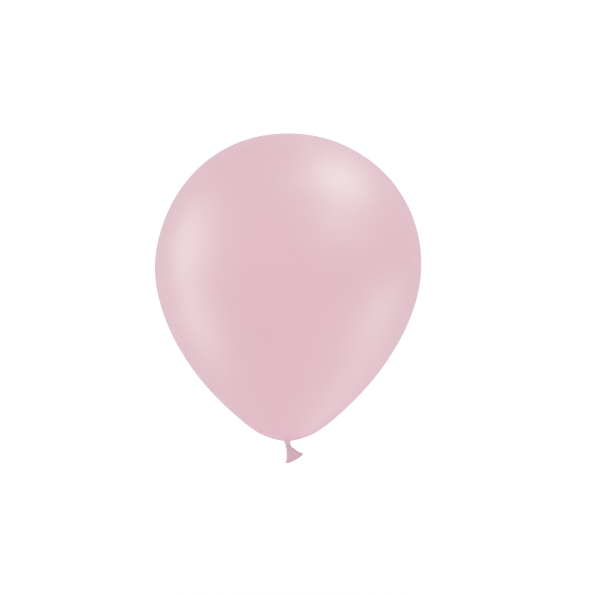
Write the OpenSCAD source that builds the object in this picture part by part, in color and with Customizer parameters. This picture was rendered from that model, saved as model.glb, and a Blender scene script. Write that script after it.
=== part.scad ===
// Latex balloon, blown up and closed with an overhand knot in its own neck.
// Millimetres, +Z up. The origin is the throat: the point on the axis where the neck leaves the
// inflated skin and a ribbon is tied. The skin is above it; the neck, knot and tail hang below.
// The real balloon is one dipped piece of rubber. It is drawn as the stretches of that rubber that
// behave differently, joined where the soft neck bends.

/* [Skin] */
// Width at the widest level; 300 is a 12 inch balloon
body_d = 300; // [270:5:320]
// Height of the crown over the widest level, as a share of half the width
crown_share = 0.986; // [0.92:0.002:1.08]
// Depth of the taper below the widest level, as a share of half the width
taper_share = 1.326; // [1.2:0.002:1.45]
// How far the sides pull in towards the throat, as a share of the radius
pinch = 0.331; // [0.25:0.001:0.4]
// Thickness the skin is drawn with
skin_wall = 0.4; // [0.3:0.05:0.6]

/* [Neck and knot] */
// Half width of the throat where the neck leaves the skin
throat_r = 3.4; // [3.3:0.1:4]
// Half width of the neck at its waist
waist_r = 1.9; // [1.6:0.05:1.95]
// Length of neck between the throat and the knot
neck_l = 3.4; // [3.2:0.1:4]
// Half width of the strand inside the knot
knot_core_r = 3; // [2.9:0.05:3.2]
// Width of the turn of neck wrapped round the strand, between the middles of its two sides
knot_turn_w = 5.6; // [5.4:0.1:6]
// Thickness of that turn
knot_turn_d = 1.6; // [1.4:0.1:1.8]
// How far the turn slants up towards the side that the tail leans to
knot_turn_slant = 12; // [6:1:16]

/* [Tail] */
// Lean of the tail to the side, from straight down
tail_lean = 30.5; // [20:0.5:38]
// Length of the tail from the knot to the middle of the mouth
tail_l = 12.8; // [11:0.2:15]
// Width of the flattened mouth, without its rolled lip
mouth_w = 20.4; // [17:0.2:21]
// Depth of the flattened mouth, front to back
mouth_d = 4.2; // [3.6:0.1:4.6]
// How far the middle of the mouth stands out beyond its corners
mouth_bulge = 1.7; // [0.5:0.1:2.2]
// Wall of the tail
tail_wall = 0.5; // [0.4:0.05:0.6]
// Thickness of the rolled lip
lip_d = 1.5; // [1.2:0.1:1.8]

/* [Hidden] */

skin_colour = "#E1BBC6";
thick_colour = "#CFAFB8";

// Skin outline
body_r = body_d / 2;
crown_h = crown_share * body_r;
taper_h = taper_share * body_r;
pole_z = 0.8;                      // lowest level of the skin's outline, just over the throat
widest_z = pole_z + taper_h;
pinch_power = 2.14;                // how late the pull-in starts
outline_step = 2.5;                // degrees between outline points
gather_angle = 175;                // outline angle from the crown at which the gather begins

// Gather
gather_h = 2.6;                    // height of its domed top inside the skin, over its rim
gather_step = 15;                  // degrees between points of the dome
gather_inner_angle = 178;          // outline angle at which the gather turns down to the throat

// Ball ends that stand for the bends of the soft neck
play = 0.12;                       // gap between a ball end and its socket
throat_ball_r = 2.5;
knot_ball_r = 2.3;
tail_ball_r = 1.35;
knot_wall = 0.7;                   // rubber round the tail's ball end
knot_top_z = -neck_l;              // bend between the neck and the knot
tail_x = 1.25;                     // bend between the knot and the tail
tail_z = knot_top_z - 4.25;
knot_turn_z = knot_top_z - 2.4;    // middle of the wrapped turn

// Tail
shoulder_s = 1.3;                  // distance below the bend at which the flat tail begins
opening_from = 1.05;               // where its width would start from nothing
shoulder_l = 1.2;                  // length over which it opens to its full taper
root_share = 0.353;                // width of the taper at the bend, as a share of the mouth's
root_depth = 1.9;                  // front to back depth of the flat tail at its start
depth_power = 1.5;                 // how late it deepens towards the mouth
hollow_from = 0.3;                 // share of the length at which the hollow begins
tail_rings = 12;
tail_sides = 32;
lip_sides = 10;
lip_steps = 48;

function sq(x) = x * x;

// Outline of the skin. Over the widest level it is an ellipse; under it the ellipse is longer and
// its sides pull in by pinch towards the throat. t runs from 0 at the crown to 180 at the pole.
function pull_in(t) = t < 90 ? 1 : 1 - pinch * (1 - pow(sin(t), pinch_power));
function skin_point(t, inset) = [
    (body_r - inset) * sin(t) * pull_in(t),
    widest_z + ((t < 90 ? crown_h : taper_h) - inset) * cos(t)
];
function skin_line(from, to, step, inset) = [for (t = [from:step:to]) skin_point(t, inset)];

// Cross-section of the flat tail at distance s below the bend: flat front and back with round
// ends, its two ends lifted so that the mouth bulges in the middle. inset is the wall, for the
// hollow.
function opening(s) = sqrt(min(1, (s - opening_from) / shoulder_l));
function half_w(s) = mouth_w / 2 * (root_share + (1 - root_share) * s / tail_l) * opening(s);
function half_d(s) = root_depth / 2 + (mouth_d - root_depth) / 2 * pow(s / tail_l, depth_power);
function tail_point(s, a, inset) =
    let (straight = half_w(s) - half_d(s), round = half_d(s) - inset)
    [
        straight * sin(90 * cos(a)) + round * cos(a),
        round * sin(a),
        mouth_bulge * sq(s / tail_l * cos(a)) - s
    ];
function tail_ring(s, inset) = [
    for (i = [0:tail_sides - 1]) tail_point(s, i * 360 / tail_sides, inset)
];

// A closed solid through rings of equal point counts, each ring anticlockwise seen from above and
// the rings going down. Each end is closed round the midpoint between its front and back.
function ring_middle(ring) = (ring[len(ring) / 4] + ring[len(ring) * 3 / 4]) / 2;
module stack(rings) {
    n = len(rings[0]);
    last = len(rings) - 1;
    top_middle = (last + 1) * n;
    points = concat(
        [for (ring = rings) for (p = ring) p],
        [ring_middle(rings[0]), ring_middle(rings[last])]
    );
    sides = [
        for (k = [0:last - 1]) for (i = [0:n - 1])
            for (face = [
                [k * n + i, k * n + (i + 1) % n, (k + 1) * n + i],
                [k * n + (i + 1) % n, (k + 1) * n + (i + 1) % n, (k + 1) * n + i]
            ]) face
    ];
    top = [for (i = [0:n - 1]) [top_middle, (i + 1) % n, i]];
    bottom = [for (i = [0:n - 1]) [top_middle + 1, last * n + i, last * n + (i + 1) % n]];
    polyhedron(points = points, faces = concat(sides, top, bottom));
}

// Rubber strand of the neck, with a ball end at each bend
module strand(top_ball, bottom_ball, r, length) {
    sphere(r = top_ball, $fn = 64);
    translate([0, 0, -length]) cylinder(r = r, h = length, $fn = 64);
    translate([0, 0, -length]) sphere(r = bottom_ball, $fn = 64);
}

// Places children at the bend between the knot and the tail, with -Z along the tail
module at_tail() {
    translate([tail_x, 0, tail_z]) rotate([0, -tail_lean, 0]) children();
}

// The blown-up skin: a thin closed bag, open only at the throat
module inflated_skin() {
    outer = skin_line(0, gather_angle, outline_step, 0);
    inner = skin_line(0, gather_angle, outline_step, skin_wall);
    rim = len(inner) - 1;
    color(skin_colour)
    rotate_extrude($fn = 180)
    polygon(concat(outer, [for (i = [rim:-1:0]) inner[i]]));
}

// Gathered rubber that closes the skin down to the neck, with the seat for the neck's bend
module neck_gather() {
    inner_edge = skin_point(gather_angle, skin_wall);
    under = skin_line(gather_angle, gather_inner_angle, 1, 0);
    dome = [
        for (a = [gather_step:gather_step:90])
            [inner_edge[0] * cos(a), inner_edge[1] + gather_h * sin(a)]
    ];
    color(skin_colour)
    difference() {
        rotate_extrude($fn = 96)
        polygon(concat([[0, 0], [throat_r, 0]], [for (i = [len(under) - 1:-1:0]) under[i]],
                       [inner_edge], dome));
        sphere(r = throat_ball_r + play, $fn = 64);
    }
}

// Short bare neck between the throat and the knot, where the ribbon goes
module neck_stem() {
    color(thick_colour)
    strand(throat_ball_r, knot_ball_r, waist_r, neck_l);
}

// Strand of neck that runs down through the knot
module knot_core() {
    beyond = 12;
    color(thick_colour)
    difference() {
        union() {
            translate([0, 0, tail_z + 0.8])
            cylinder(r = knot_core_r, h = knot_top_z - tail_z - 0.8, $fn = 64);
            at_tail() sphere(r = tail_ball_r + play + knot_wall, $fn = 64);
        }
        translate([0, 0, knot_top_z]) sphere(r = knot_ball_r + play, $fn = 64);
        at_tail() sphere(r = tail_ball_r + play, $fn = 64);
        at_tail() translate([-beyond / 2, -beyond / 2, -beyond]) cube(beyond);
    }
}

// The turn of neck that is wrapped once round the strand and pulled tight
module knot_turn() {
    color(thick_colour)
    translate([0, 0, knot_turn_z])
    rotate([0, -knot_turn_slant, 0])
    rotate_extrude($fn = 72)
    translate([knot_turn_w / 2, 0])
    circle(d = knot_turn_d, $fn = 32);
}

// The flattened sleeve of unstretched neck below the knot, open at its mouth
module tail_sleeve() {
    steps = [for (k = [0:tail_rings]) shoulder_s + (tail_l - shoulder_s) * k / tail_rings];
    hollow_s = hollow_from * tail_l;
    hollow_end = tail_l + lip_d;
    hollow = [
        for (k = [0:tail_rings]) hollow_s + (hollow_end - hollow_s) * k / tail_rings
    ];
    color(thick_colour)
    at_tail() {
        difference() {
            stack([for (s = steps) tail_ring(s, 0)]);
            stack([for (s = hollow) tail_ring(s, tail_wall)]);
        }
        strand(tail_ball_r, root_depth / 2, root_depth / 2, shoulder_s + 0.4);
    }
}

// The rolled bead round the mouth
module rolled_lip() {
    function lip_centre(a) = tail_point(tail_l, a, tail_wall / 2);
    function lip_point(a, b) =
        let (along = lip_centre(a + 1) - lip_centre(a - 1), out = [along[1], -along[0], 0])
        lip_centre(a) + lip_d / 2 * (cos(b) * out / norm(out) + [0, 0, sin(b)]);
    points = [
        for (i = [0:lip_steps - 1]) for (j = [0:lip_sides - 1])
            lip_point(i * 360 / lip_steps, j * 360 / lip_sides)
    ];
    faces = [
        for (i = [0:lip_steps - 1]) for (j = [0:lip_sides - 1])
            let (a = i * lip_sides, b = (i + 1) % lip_steps * lip_sides, k = (j + 1) % lip_sides)
            for (face = [[a + j, a + k, b + j], [a + k, b + k, b + j]]) face
    ];
    color(thick_colour)
    at_tail() polyhedron(points = points, faces = faces);
}

inflated_skin();
neck_gather();
neck_stem();
knot_core();
knot_turn();
tail_sleeve();
rolled_lip();
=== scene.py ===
"""Looks of a blown-up latex balloon, knotted in its own neck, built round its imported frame.

Lengths are millimetres while a shape is worked out, and metres in the meshes and the materials.
The origin is the throat, where the neck leaves the skin. +Z runs up to the crown. The tail below
the knot leans towards +X, which is called the tail's side.
"""

import math

import bpy
import numpy as np
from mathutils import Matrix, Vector


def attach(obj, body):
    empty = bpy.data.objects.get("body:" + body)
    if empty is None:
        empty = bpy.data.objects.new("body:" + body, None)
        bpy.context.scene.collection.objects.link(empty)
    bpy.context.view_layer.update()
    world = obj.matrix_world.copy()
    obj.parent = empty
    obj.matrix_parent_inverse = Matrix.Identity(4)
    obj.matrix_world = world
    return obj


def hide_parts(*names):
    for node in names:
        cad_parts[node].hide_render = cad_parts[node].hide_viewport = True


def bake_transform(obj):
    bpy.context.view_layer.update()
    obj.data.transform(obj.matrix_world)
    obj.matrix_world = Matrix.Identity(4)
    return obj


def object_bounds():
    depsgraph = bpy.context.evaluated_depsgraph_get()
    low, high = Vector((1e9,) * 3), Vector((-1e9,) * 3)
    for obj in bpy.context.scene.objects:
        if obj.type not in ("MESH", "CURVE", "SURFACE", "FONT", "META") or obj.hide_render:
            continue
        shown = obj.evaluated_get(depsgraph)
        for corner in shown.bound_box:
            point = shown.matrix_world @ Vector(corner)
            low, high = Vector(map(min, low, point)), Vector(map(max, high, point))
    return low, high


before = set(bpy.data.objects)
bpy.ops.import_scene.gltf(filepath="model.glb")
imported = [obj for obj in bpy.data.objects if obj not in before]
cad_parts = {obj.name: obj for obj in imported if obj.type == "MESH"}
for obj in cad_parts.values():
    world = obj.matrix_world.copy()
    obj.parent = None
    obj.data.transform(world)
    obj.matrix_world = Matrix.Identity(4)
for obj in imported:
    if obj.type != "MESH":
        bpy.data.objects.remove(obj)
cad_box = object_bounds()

MM = 0.001
FULL_TURN = 2 * math.pi

# Outline of the skin, the same as the frame's
BODY_R = 150.0
CROWN_H = 0.986 * BODY_R
TAPER_H = 1.326 * BODY_R
PINCH = 0.331
PINCH_POWER = 2.14
POLE_Z = 0.8
WIDEST_Z = POLE_Z + TAPER_H

# How far the skin stands off that outline
FULLER = 0.6                # out at the shoulders, and in under them
SLIMMER = 0.56              # in, down the whole taper
HOLLOW = 1.21               # further in, just above the throat
HOLLOW_Z = 32               # height of the middle of that hollow
HOLLOW_H = 24               # how far up and down from there it fades
THROAT_RISE = 1.1           # up, round the throat
THROAT_T = 177.4            # outline angle at which the skin turns down into the neck

# How far the middle of the rubber stands off the axis, towards the tail's side
SHOULDER_LEAN = 1.45
THROAT_LEAN = -1.2
NECK_LEAN = 0.5
KNOT_LEAN = 1.45

# Neck
NECK_R = 3.4
NECK_NARROWING = 0.5
FILLET = 1.2
NECK_JOIN_Z = -1.7          # where the two stretches of neck meet, between their two bends
NECK_END_Z = -5.4           # where the lower stretch ends, inside the knot
NECK_PLEATS = 11
NECK_TURN = 0.16            # twist of the pleats, in radians to the millimetre
DEEP_CREASE = 0.5
FINE_CREASE = 0.12
TUCK = 0.03                 # how far a stretch of neck slips under the next where they overlap

# Knot
STRAND_TOP_Z = -4.2
STRAND_BOTTOM_Z = -8.6
STRAND_R = 2.3
WRAP_Z = -5.6               # middle of the wrapped turn
WRAP_SLANT = 0.2            # its rise to the millimetre towards the tail's side
WRAP_SHIFT = 0.75           # how far its middle stands off the axis
WRAP_HALF_THICKNESS = 0.78
WRAP_HALF_WIDTH = 1.3

# Tail. Distances along it are measured down from its bend
TAIL_BEND = (1.25, 0.0, -7.65)
TAIL_LEAN = math.radians(30.5)
TAIL_L = 13.1
TAIL_WALL = 0.5
TAIL_HOLLOW = 0.55          # how far its sides curve in
ROOT_END = -3.2             # where it ends inside the knot
ROOT_SHARE = 0.41           # width of the taper at the bend, as a share of the mouth's
ROOT_DEPTH = 1.9
ROOT_DRAWN_IN = 0.8         # how much narrower each side is in the knot than the taper
ROOT_BUNCHED = 1.15         # how much thicker front and back are there
ROOT_SHIFT = 0.45           # how far the root stands towards the tail's upper side
MOUTH_W = 21.0
MOUTH_D = 4.2
MOUTH_BULGE = 2.0
MOUTH_SKEW = 0.04           # slope of the mouth, further out on the tail's upper side
DEPTH_POWER = 1.5
LIP_R = 0.75
LIP_GROOVE = 0.09           # depth of its groove, as a share of its half thickness


def smooth(x, start, end):
    """0 before start, 1 after end, and an even S between them. x may be an array."""
    t = np.clip((x - start) / (end - start), 0, 1)
    return t * t * (3 - 2 * t)


def round_the_axis(steps):
    """Angles of a whole turn, without the last, which would repeat the first."""
    return np.arange(steps) / steps * FULL_TURN


def unit(v):
    return v / np.linalg.norm(v, axis=-1, keepdims=True)


def pleats(angle, count, seed):
    """Gathered rubber: unequal lobes round a turn, 1 on a lobe and 0 in the crease between two.

    It is the size of a sine of half the turn's angle times count. The angle is first swayed by two
    slow sines, so that the lobes differ in width.
    """
    swayed = angle + 0.22 * np.sin(angle + seed) + 0.12 * np.sin(2 * angle + 2.3 * seed)
    return np.abs(np.sin(count / 2 * swayed))


def make_piece(name, rings, body, material, loop=False):
    """A closed mesh through rings of points that go down a shape, each anticlockwise from above.

    Neighbouring rings are joined by quads. In a loop the last ring is joined to the first one;
    otherwise each end is closed by triangles round the middle of its ring. rings is an array of
    ring, point, coordinate, in millimetres. body is None for a piece that is attached to no body.
    """
    count, around = rings.shape[:2]
    points = rings.reshape(-1, 3)
    here = np.arange(around)
    after = (here + 1) % around
    start = (np.arange(count if loop else count - 1) * around)[:, None]
    below = (start + around) % (count * around)
    quads = np.stack([start + here, below + here, below + after, start + after], axis=-1)
    faces = quads.reshape(-1, 4).tolist()
    if not loop:
        points = np.concatenate([points, [rings[0].mean(0), rings[-1].mean(0)]])
        top, bottom = np.full(around, len(points) - 2), np.full(around, len(points) - 1)
        last = (count - 1) * around
        faces += np.stack([top, here, after], axis=-1).tolist()
        faces += np.stack([bottom, last + after, last + here], axis=-1).tolist()
    mesh = bpy.data.meshes.new(name)
    mesh.from_pydata((points * MM).tolist(), [], faces)
    mesh.polygons.foreach_set("use_smooth", np.ones(len(mesh.polygons), bool))
    mesh.set_sharp_from_angle(angle=math.radians(60))
    mesh.update()
    mesh.materials.append(material)
    piece = bpy.data.objects.new(name, mesh)
    bpy.context.scene.collection.objects.link(piece)
    if body:
        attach(piece, body)
    return piece


# ---------------------------------------------------------------------------------------------
# Materials
# ---------------------------------------------------------------------------------------------


class Wire:
    """An output of a material's node that can be used in a Python expression on numbers."""

    def __init__(self, recipe, socket):
        self.recipe = recipe
        self.socket = socket

    def maths(self, operation, *values):
        return self.recipe.node("ShaderNodeMath", {"operation": operation}, dict(enumerate(values)))

    def __add__(self, other):
        return self.maths("ADD", self, other)

    def __sub__(self, other):
        return self.maths("SUBTRACT", self, other)

    def __rsub__(self, other):
        return self.maths("SUBTRACT", other, self)

    def __mul__(self, other):
        return self.maths("MULTIPLY", self, other)

    __radd__ = __add__
    __rmul__ = __mul__


class Recipe:
    """One material and the nodes that make it."""

    def __init__(self, name):
        self.material = bpy.data.materials.new(name)
        self.material.use_nodes = True
        self.tree = self.material.node_tree
        self.shader = self.tree.nodes["Principled BSDF"]

    def node(self, kind, settings, inputs, output=0):
        """Adds a node: its settings first, then a value or a link for each socket named."""
        made = self.tree.nodes.new(kind)
        for setting, value in settings.items():
            setattr(made, setting, value)
        for socket, value in inputs.items():
            if isinstance(value, Wire):
                self.tree.links.new(value.socket, made.inputs[socket])
            else:
                made.inputs[socket].default_value = value
        return Wire(self, made.outputs[output])

    def place(self):
        """Place on the piece, in metres."""
        return self.node("ShaderNodeTexCoord", {}, {}, "Object")

    def noise(self, where, scale, detail=2.0, rough=0.5):
        """Soft noise from 0 to 1, with about scale lumps to the metre."""
        return self.node(
            "ShaderNodeTexNoise",
            {"noise_dimensions": "3D"},
            {"Vector": where, "Scale": scale, "Detail": detail, "Roughness": rough},
            "Fac",
        )

    def ramp(self, value, start, end, low=0.0, high=1.0):
        """Takes value from start..end to low..high with a smooth step, and holds it there."""
        return self.node(
            "ShaderNodeMapRange",
            {"interpolation_type": "SMOOTHSTEP"},
            {"Value": value, "From Min": start, "From Max": end, "To Min": low, "To Max": high},
        )

    def blend(self, factor, one, other):
        """Colour one where factor is 0 and colour other where it is 1."""
        return self.node(
            "ShaderNodeMix", {"data_type": "RGBA"}, {"Factor": factor, 6: one, 7: other}, 2
        )

    def feed(self, socket, wire):
        self.tree.links.new(wire.socket, self.shader.inputs[socket])

    def set(self, socket, value):
        self.shader.inputs[socket].default_value = value


def shade(colour, factor):
    """A colour made lighter or darker by a factor."""
    return tuple(c * factor for c in colour[:3]) + (1.0,)


def latex(name, colour, deep, other, change, drift, roughness, grain):
    """Satin pastel latex.

    The colour drifts by a few hundredths in soft clouds and in fine pigment specks. Round the
    throat and below it, where the rubber is thicker, it deepens in streaks that run in to the
    axis. It turns to the other colour from the first height of change to the second. The gloss is
    a little uneven. grain is the depth of the powdery texture of the surface.
    """
    recipe = Recipe(name)
    place = recipe.place()
    cloud = recipe.ramp(recipe.noise(place, 9.0, 3.0), 0.3, 0.7)
    drifted = recipe.blend(cloud, shade(colour, 1 - drift), shade(colour, 1 + drift))
    speck = recipe.ramp(recipe.noise(place, 900.0, 2.0, 0.6), 0.62, 0.8, 0.0, 0.1)
    specked = recipe.blend(speck, drifted, shade(deep, 0.9))
    flat_place = recipe.node(
        "ShaderNodeVectorMath", {"operation": "MULTIPLY"}, {0: place, 1: (1.0, 1.0, 0.0)}
    )
    bearing = recipe.node("ShaderNodeVectorMath", {"operation": "NORMALIZE"}, {0: flat_place})
    streak = recipe.ramp(recipe.noise(bearing, 7.0, 3.0, 0.6), 0.35, 0.65, 0.25, 1.0)
    height = recipe.node("ShaderNodeSeparateXYZ", {}, {"Vector": place}, "Z")
    near_throat = 1 - recipe.ramp(height, 0.002, 0.045)
    deepened = recipe.blend(near_throat * streak, specked, deep)
    # Towards the neck it turns to the other colour, whose lift over the rubber's own colour is
    # painted light
    turned = recipe.ramp(height, *change)
    recipe.feed("Base Color", recipe.blend(turned, deepened, other))
    recipe.feed("Roughness", roughness + 0.06 * (cloud - 0.5))
    texture = recipe.noise(place, 2600.0, 3.0, 0.6)
    recipe.feed(
        "Normal",
        recipe.node(
            "ShaderNodeBump", {}, {"Strength": 1.0, "Distance": grain, "Height": texture}, "Normal"
        ),
    )
    recipe.set("IOR", 1.5)
    recipe.set("Specular IOR Level", 1.0)
    return recipe.material


# The stretched skin, the thick rubber of the tail, what each deepens to, and the neck, greyer
# than the tail's rubber and lighter: its lightness is painted light against the shade and the pink
# bounce light in its pleats
STRETCHED = (0.640, 0.394, 0.457, 1.0)
STRETCHED_DEEP = (0.650, 0.378, 0.458, 1.0)
THICK = (0.600, 0.400, 0.450, 1.0)
THICK_DEEP = (0.555, 0.356, 0.408, 1.0)
NECK_GREY_AND_PAINTED_LIGHT = (0.594, 0.462, 0.508, 1.0)

stretched_latex = latex(
    "stretched_latex", STRETCHED, STRETCHED_DEEP, NECK_GREY_AND_PAINTED_LIGHT, (0.0024, 0.0012), 0.012, 0.46, 0.00001
)
thick_latex = latex(
    "thick_latex", THICK, THICK_DEEP, NECK_GREY_AND_PAINTED_LIGHT, (-0.008, -0.005), 0.03, 0.50, 0.00002
)

# ---------------------------------------------------------------------------------------------
# Skin and neck
# ---------------------------------------------------------------------------------------------


def skin_outline(t):
    """Radius and height of the skin at angle t in degrees, from 0 at the crown to 180 at the pole.

    Over the widest level it is an ellipse. Under it the ellipse is longer, and its sides pull in
    towards the throat by a share that grows as a power of the angle's sine falls. The skin then
    stands off that by a sine wave down the upper half, out at the shoulders and in under them, and
    the taper is a little slimmer, most of all in a hollow above the throat.
    """
    sine, cosine = np.sin(np.radians(t)), np.cos(np.radians(t))
    pulled = np.where(t < 90, 1.0, 1 - PINCH * (1 - sine**PINCH_POWER))
    fuller = FULLER * np.sin(np.radians(3.4 * t)) * (1 - smooth(t, 70, 100))
    r = BODY_R * sine * pulled + fuller * sine
    z = WIDEST_Z + np.where(t < 90, CROWN_H, TAPER_H) * cosine + fuller * cosine
    hollow = HOLLOW * np.exp(-(((z - HOLLOW_Z) / HOLLOW_H) ** 2))
    slimmer = SLIMMER * smooth(-z, -200, -140) + hollow
    return r - slimmer * smooth(r, 0, 45), z


def lean(z):
    """How far the middle of the rubber stands off the axis at height z: hardly at all at the crown
    and the widest level, one way at the shoulders and the knot, and the other at the throat."""
    shoulders = SHOULDER_LEAN * smooth(z, 180, 265) * (1 - smooth(z, 290, 348))
    throat = THROAT_LEAN * (1 - smooth(z, 60, 190))
    neck = NECK_LEAN * smooth(-z, -3.5, -0.5)
    return shoulders + throat + neck + KNOT_LEAN * smooth(-z, 0.0, 5.2)


def neck_radius(z):
    """Half width of the neck at height z: it narrows from the throat, where it runs out into the
    skin in a small fillet, down to the knot."""
    fillet = FILLET * np.exp(-np.clip(2.1 - z, 0, None) / 0.5)
    return NECK_R - NECK_NARROWING * smooth(-z, -1.5, 3.2) + fillet


def neck_rings(heights, around):
    """Rings of the neck: its radius at each height, less the depth of the creases between its
    pleats, a few deep and many fine, which turn slowly about the axis as they go down."""
    angle = round_the_axis(around)[None, :]
    z = heights[:, None]
    turned = angle + NECK_TURN * z
    uneven = 0.75 + 0.25 * np.sin(turned * 2 + 1.1)
    deep = DEEP_CREASE * (1 - pleats(turned, NECK_PLEATS, 1.0)) * uneven
    fine = FINE_CREASE * (1 - pleats(turned + 0.1 * np.sin(z), 2 * NECK_PLEATS + 1, 2.6))
    r = neck_radius(z) - smooth(-z, -1.9, 0.2) * (deep + fine)
    return np.stack(
        [r * np.cos(angle) + lean(z), r * np.sin(angle), np.broadcast_to(z, r.shape)], axis=-1
    )


def slipped_under(rings):
    """A few rings of the neck, drawn in towards their middles by the tuck."""
    outwards = (rings - rings.mean(1, keepdims=True)) * np.array([1, 1, 0])
    return rings - TUCK * unit(outwards)


def skin_rings(around):
    """Rings of the skin from the crown to the throat, then of the upper neck.

    Round the throat each skin point is raised, and raised further in the pleats' creases, which
    fade with the distance from the axis: first the fine ones, then the broad ones.
    """
    angle = round_the_axis(around)[None, :]
    t = np.concatenate([np.linspace(1.0, 165, 130), np.linspace(165.3, THROAT_T, 60)])[:, None]
    r, z = skin_outline(t)
    fine = pleats(angle + 2 * NECK_TURN, NECK_PLEATS, 1.0)
    broad = pleats(angle + 0.4, 7, 2.0)
    near = 0.42 * np.exp(-(r - 3.3) / 3.2) * smooth(r, 3.2, 5.0) * (1 - fine)
    far = 0.34 * np.exp(-(((r - 6.0) / 7.0) ** 2)) * smooth(r, 3.4, 6.5) * (1 - broad)
    rise = THROAT_RISE * (1 - smooth(r, 17, 34))
    z = z + np.where(t > 150, rise + near + far, 0.0)
    r = np.broadcast_to(r, z.shape)
    body = np.stack([r * np.cos(angle) + lean(z), r * np.sin(angle), z], axis=-1)
    neck = neck_rings(np.linspace(2.0, NECK_JOIN_Z, 26), around)
    under = slipped_under(neck_rings(NECK_JOIN_Z - np.array([0.15, 0.3]), around))
    return np.concatenate([body, neck, under])


def lower_neck_rings(around):
    """Rings of the lower stretch of neck, from under the upper one down into the knot."""
    under = slipped_under(neck_rings(NECK_JOIN_Z + np.array([0.3, 0.15]), around))
    return np.concatenate([under, neck_rings(np.linspace(NECK_JOIN_Z, NECK_END_Z, 30), around)])


balloon_skin = make_piece("balloon_skin", skin_rings(288), None, stretched_latex)
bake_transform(balloon_skin)
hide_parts("inflated_skin", "neck_gather")

lower_neck = make_piece("lower_neck", lower_neck_rings(288), None, thick_latex)
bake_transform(lower_neck)
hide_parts("neck_stem")

# ---------------------------------------------------------------------------------------------
# Knot
# ---------------------------------------------------------------------------------------------


def strand_rings(around):
    """The strand inside the knot: pleated rings that bulge in the middle and are drawn in at both
    ends, with their middles leaning over towards the tail on the way down."""
    angle = round_the_axis(around)[None, :]
    z = np.linspace(STRAND_TOP_Z, STRAND_BOTTOM_Z, 36)[:, None]
    share = (z - STRAND_TOP_Z) / (STRAND_BOTTOM_Z - STRAND_TOP_Z)
    bulge = 0.7 * np.sin(math.pi * np.clip(share * 1.15, 0, 1))
    r = STRAND_R + bulge - 1.3 * smooth(share, 0.45, 1)
    r = r - 0.3 * (1 - pleats(angle + 0.2 * z, 9, 0.4))
    shift = lean(z) + 1.3 * smooth(share, 0.3, 1.0)
    return np.stack(
        [shift + r * np.cos(angle), r * np.sin(angle), np.broadcast_to(z, r.shape)], axis=-1
    )


strand = make_piece("knot_strand", strand_rings(180), "knot", thick_latex)
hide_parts("knot_core")


def along_path(path, side, over, across, deep):
    """A tube of changing section carried along a path.

    path, side and over are arrays of points and of the two unit directions that span the section
    there. across and deep are the section's half sizes along them, by path point and by angle.
    """
    angle = round_the_axis(across.shape[1])[None, :, None]
    return (
        path[:, None, :]
        + across[:, :, None] * np.cos(angle) * side[:, None, :]
        + deep[:, :, None] * np.sin(angle) * over[:, None, :]
    )


def wrap_rings(steps, around):
    """The turn of neck wrapped round the knot and pulled tight.

    Its path is a turn and a third of a helix, slanted up towards the tail's side, whose ends dive
    in to the strand behind. Its section is a flat oval that narrows at the ends, with pleats along
    it that drift across.
    """
    share = np.linspace(0, 1, steps)
    turn = math.radians(50) + share * math.radians(480)
    wound = np.sin(math.pi * share) ** 0.3
    reach = 1.0 + 2.0 * wound
    x, y = reach * np.cos(turn), reach * np.sin(turn)
    drop = 0.7 - 1.4 * smooth(share, 0.1, 0.9)
    path = np.stack([x + WRAP_SHIFT, y, WRAP_Z + WRAP_SLANT * x + drop], axis=-1)
    along = unit(np.gradient(path, axis=0))
    outward = unit(np.stack([x, y, 0 * x], axis=-1))
    over = unit(np.cross(along, outward))
    side = np.cross(along, over)
    angle = round_the_axis(around)[None, :]
    crease = 1 - 0.2 * (1 - pleats(angle + 2.0 * share[:, None], 9, 0.8))
    lumps = 1 + 0.05 * np.sin(5.3 * turn + 0.6) + 0.03 * np.sin(11.7 * turn)
    size = (0.5 + 0.5 * wound)[:, None] * lumps[:, None] * crease
    return along_path(path, side, over, WRAP_HALF_THICKNESS * size, WRAP_HALF_WIDTH * size)


wrap = make_piece("knot_wrap", wrap_rings(220, 72), "knot", thick_latex)
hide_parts("knot_turn")

# ---------------------------------------------------------------------------------------------
# Tail
# ---------------------------------------------------------------------------------------------


def in_tail(points):
    """Turns and moves points from the tail's own axes, -Z along it and +X across, to the frame."""
    c, s = math.cos(TAIL_LEAN), math.sin(TAIL_LEAN)
    x, y, z = points[..., 0], points[..., 1], points[..., 2]
    turned = np.stack([c * x - s * z, y, s * x + c * z], axis=-1)
    return turned + np.array(TAIL_BEND)


def tail_half_width(s):
    """Half width of the flat tail at distance s below its bend: a taper with slightly hollow
    sides, drawn in where it comes out of the knot."""
    taper = MOUTH_W / 2 * (ROOT_SHARE + (1 - ROOT_SHARE) * s / TAIL_L)
    hollow = TAIL_HOLLOW * np.sin(math.pi * np.clip(s / TAIL_L, 0, 1))
    return taper - hollow - ROOT_DRAWN_IN * (1 - smooth(s, -2.0, 2.2))


def tail_half_depth(s):
    """Half depth of the tail, front to back, at distance s below its bend: thick where it is
    bunched in the knot, flat below it, and opening again towards the mouth."""
    opening = (MOUTH_D - ROOT_DEPTH) / 2 * np.clip(s / TAIL_L, 0, 1.1) ** DEPTH_POWER
    return ROOT_DEPTH / 2 + opening + ROOT_BUNCHED * (1 - smooth(s, -1.5, 4.5))


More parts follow.
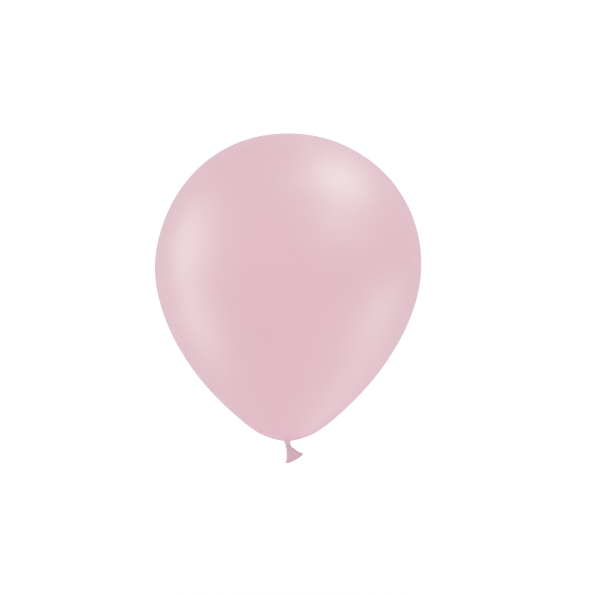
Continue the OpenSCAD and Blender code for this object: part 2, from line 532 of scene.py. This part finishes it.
def tail_section(s, a, inset):
    """Points of the tail at distance s and angle a round it.

    The section is flat with round ends, and its ends lift so that the mouth bulges in the middle,
    the end on the tail's upper side a little less than the other. inset is how far inside the
    outer surface the point lies. Pleats fan out from the knot, each keeping its share of the
    width, and fade towards the mouth, which is slightly wavy. The root stands a little towards the
    upper side and closes to a narrow end inside the knot.
    """
    across = np.sin(math.pi / 2 * np.cos(a))
    face = np.sign(np.sin(a))
    swayed = across + 0.12 * np.sin(4 * across + 1.3 * face)
    crease = (1 - np.abs(np.sin(math.pi / 2 * (5 * swayed + 0.6 * face)))) * (1 - across**6)
    below = np.clip(s, 0, None)
    fold = (0.5 * np.exp(-below / 3.6) + 0.05 * (1 - smooth(s, 8, 12))) * crease
    ripple = 0.10 * smooth(s, 2, 9) * np.sin(5 * a + 0.9)
    deep = tail_half_depth(s) - inset
    straight = np.maximum(tail_half_width(s) - tail_half_depth(s), 0)
    closing = 0.45 + 0.55 * smooth(s, ROOT_END, -1.8)
    x = closing * (straight * across + deep * np.cos(a)) + ROOT_SHIFT * (1 - smooth(s, 2, 9))
    y = closing * (deep - fold + ripple) * np.sin(a)
    z = (below / TAIL_L) ** 2 * (MOUTH_BULGE * np.cos(a) ** 2 - MOUTH_SKEW * x) - s
    return np.stack([x, y, z], axis=-1)


def tail_rings(around):
    """Rings down the outside of the tail, over the edge of its mouth and back up the inside."""
    angle = round_the_axis(around)[None, :]
    outside = tail_section(np.linspace(ROOT_END, TAIL_L, 68)[:, None], angle, 0)
    inside = tail_section(np.linspace(TAIL_L, 2.6, 40)[:, None], angle, TAIL_WALL)
    return in_tail(np.concatenate([outside, inside]))


tail_sleeve = make_piece("tail_sleeve_rubber", tail_rings(192), None, thick_latex)
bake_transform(tail_sleeve)
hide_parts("tail_sleeve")


def lip_rings(steps, around):
    """The bead rolled round the mouth.

    Its path is the middle of the wall at the mouth. Its section is a circle with a shallow groove,
    where the last wrap of the roll ends, and its thickness wavers along the way round.
    """
    a = round_the_axis(steps)
    mouth = np.full_like(a, TAIL_L)
    path = tail_section(mouth, a, TAIL_WALL / 2)
    before = tail_section(mouth, a - 0.01, TAIL_WALL / 2)
    behind = tail_section(mouth, a + 0.01, TAIL_WALL / 2)
    along = unit(behind - before)
    side = unit(np.cross(along, np.array([0.0, 0.0, 1.0])))
    over = np.cross(side, along)
    angle = round_the_axis(around)[None, :]
    past_edge = np.mod(angle - 2.2 - 0.15 * np.sin(3 * a[:, None]), FULL_TURN) - 0.6
    groove = LIP_GROOVE * np.exp(-((past_edge / 0.22) ** 2))
    waver = 1 + 0.035 * np.sin(7 * a + 0.4) + 0.025 * np.sin(16 * a)
    size = LIP_R * (waver[:, None] - groove)
    return in_tail(along_path(path, side, over, size, size))


lip = make_piece("lip_roll", lip_rings(220, 28), "tail", thick_latex, loop=True)
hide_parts("rolled_lip")

# ---------------------------------------------------------------------------------------------
# Floor, light and camera
# ---------------------------------------------------------------------------------------------

# Lengths here are metres
LIGHT_LEVEL = 1.17
SURROUNDINGS = 0.8          # brightness of the room as the gloss of the rubber mirrors it
FLOOR_Z = -0.2
FLOOR_R = 12.0
SHEEN_ANGLE = math.radians(34)
SHEEN_COLOUR = (0.52, 1.0, 0.84)
CAMERA_BACK = 2.79
CAMERA_ASIDE = 0.0107       # how far the camera stands off the middle of the part, towards +X
CAMERA_UP = 0.001

# Each soft light: the direction it comes from, and its strength
SHEENS = {
    "sheen_crown": ((0.53, 0.04, 0.85), 1.27),
    "sheen_crown_front": ((0.62, -0.54, 0.56), 0.66),
    "sheen_crown_back": ((0.34, 0.51, 0.79), 0.22),
    "sheen_left": ((-1.0, 0.06, 0.05), 0.68),
    "sheen_left_high": ((-0.91, 0.18, 0.38), 0.54),
    "sheen_left_low": ((-0.87, 0.12, -0.47), 0.66),
    "sheen_left_front": ((-0.91, -0.24, 0.33), 0.20),
    "sheen_top": ((0.10, -0.30, 0.95), 0.26),
    "sheen_right": ((0.91, 0.24, -0.33), 0.22),
    "sheen_right_low": ((0.85, 0.03, -0.53), 0.41),
    "sheen_under": ((0.47, 0.42, -0.78), 0.25),
}

floor_recipe = Recipe("studio_floor")
floor_recipe.set("Base Color", (0.9, 0.9, 0.9, 1.0))
floor_recipe.set("Roughness", 1.0)
floor_recipe.set("Specular IOR Level", 0.0)


def floor_disc(steps):
    """A flat disc: a ring of points and one face. Light from it doesn't reach the balloon."""
    a = round_the_axis(steps)
    ring = np.stack([FLOOR_R * np.cos(a), FLOOR_R * np.sin(a), np.full(steps, FLOOR_Z)], axis=-1)
    mesh = bpy.data.meshes.new("studio_floor")
    mesh.from_pydata(ring.tolist(), [], [list(range(steps))])
    mesh.materials.append(floor_recipe.material)
    disc = bpy.data.objects.new("studio_floor", mesh)
    bpy.context.scene.collection.objects.link(disc)
    disc.visible_diffuse = False
    disc.visible_glossy = False
    disc.visible_shadow = False


floor_disc(128)


def studio_world():
    """Even white light all round, which the gloss of a surface mirrors a little darker."""
    world = bpy.data.worlds.new("studio")
    bpy.context.scene.world = world
    world.use_nodes = True
    nodes, links = world.node_tree.nodes, world.node_tree.links
    background = nodes["Background"]
    background.inputs["Color"].default_value = (1.0, 1.0, 1.0, 1.0)
    mirrored = nodes.new("ShaderNodeLightPath").outputs["Is Glossy Ray"]
    level = nodes.new("ShaderNodeMapRange")
    level.inputs["To Min"].default_value = LIGHT_LEVEL
    level.inputs["To Max"].default_value = SURROUNDINGS
    links.new(mirrored, level.inputs["Value"])
    links.new(level.outputs[0], background.inputs["Strength"])


def sheen(name, towards, strength):
    """A wide soft light in a direction from the balloon, that shows only as a sheen on it."""
    lamp = bpy.data.lights.new(name, "SUN")
    lamp.angle = SHEEN_ANGLE
    lamp.energy = strength
    lamp.color = SHEEN_COLOUR
    stand = bpy.data.objects.new(name, lamp)
    bpy.context.scene.collection.objects.link(stand)
    stand.rotation_euler = Vector(towards).to_track_quat("Z", "Y").to_euler()
    stand.visible_diffuse = False


studio_world()
for lamp_name, (lamp_side, lamp_strength) in SHEENS.items():
    sheen(lamp_name, lamp_side, lamp_strength)

# A long lens, level with the middle of the part and looking straight at its front
middle = (cad_box[0] + cad_box[1]) / 2
camera_data = bpy.data.cameras.new("camera")
camera_data.lens = 150
camera_data.sensor_width = 36
camera = bpy.data.objects.new("camera", camera_data)
bpy.context.scene.collection.objects.link(camera)
camera.location = (middle.x + CAMERA_ASIDE, -CAMERA_BACK, middle.z + CAMERA_UP)
camera.rotation_euler = (math.pi / 2, 0, 0)
bpy.context.scene.camera = camera
bpy.context.scene.view_settings.view_transform = "Standard"
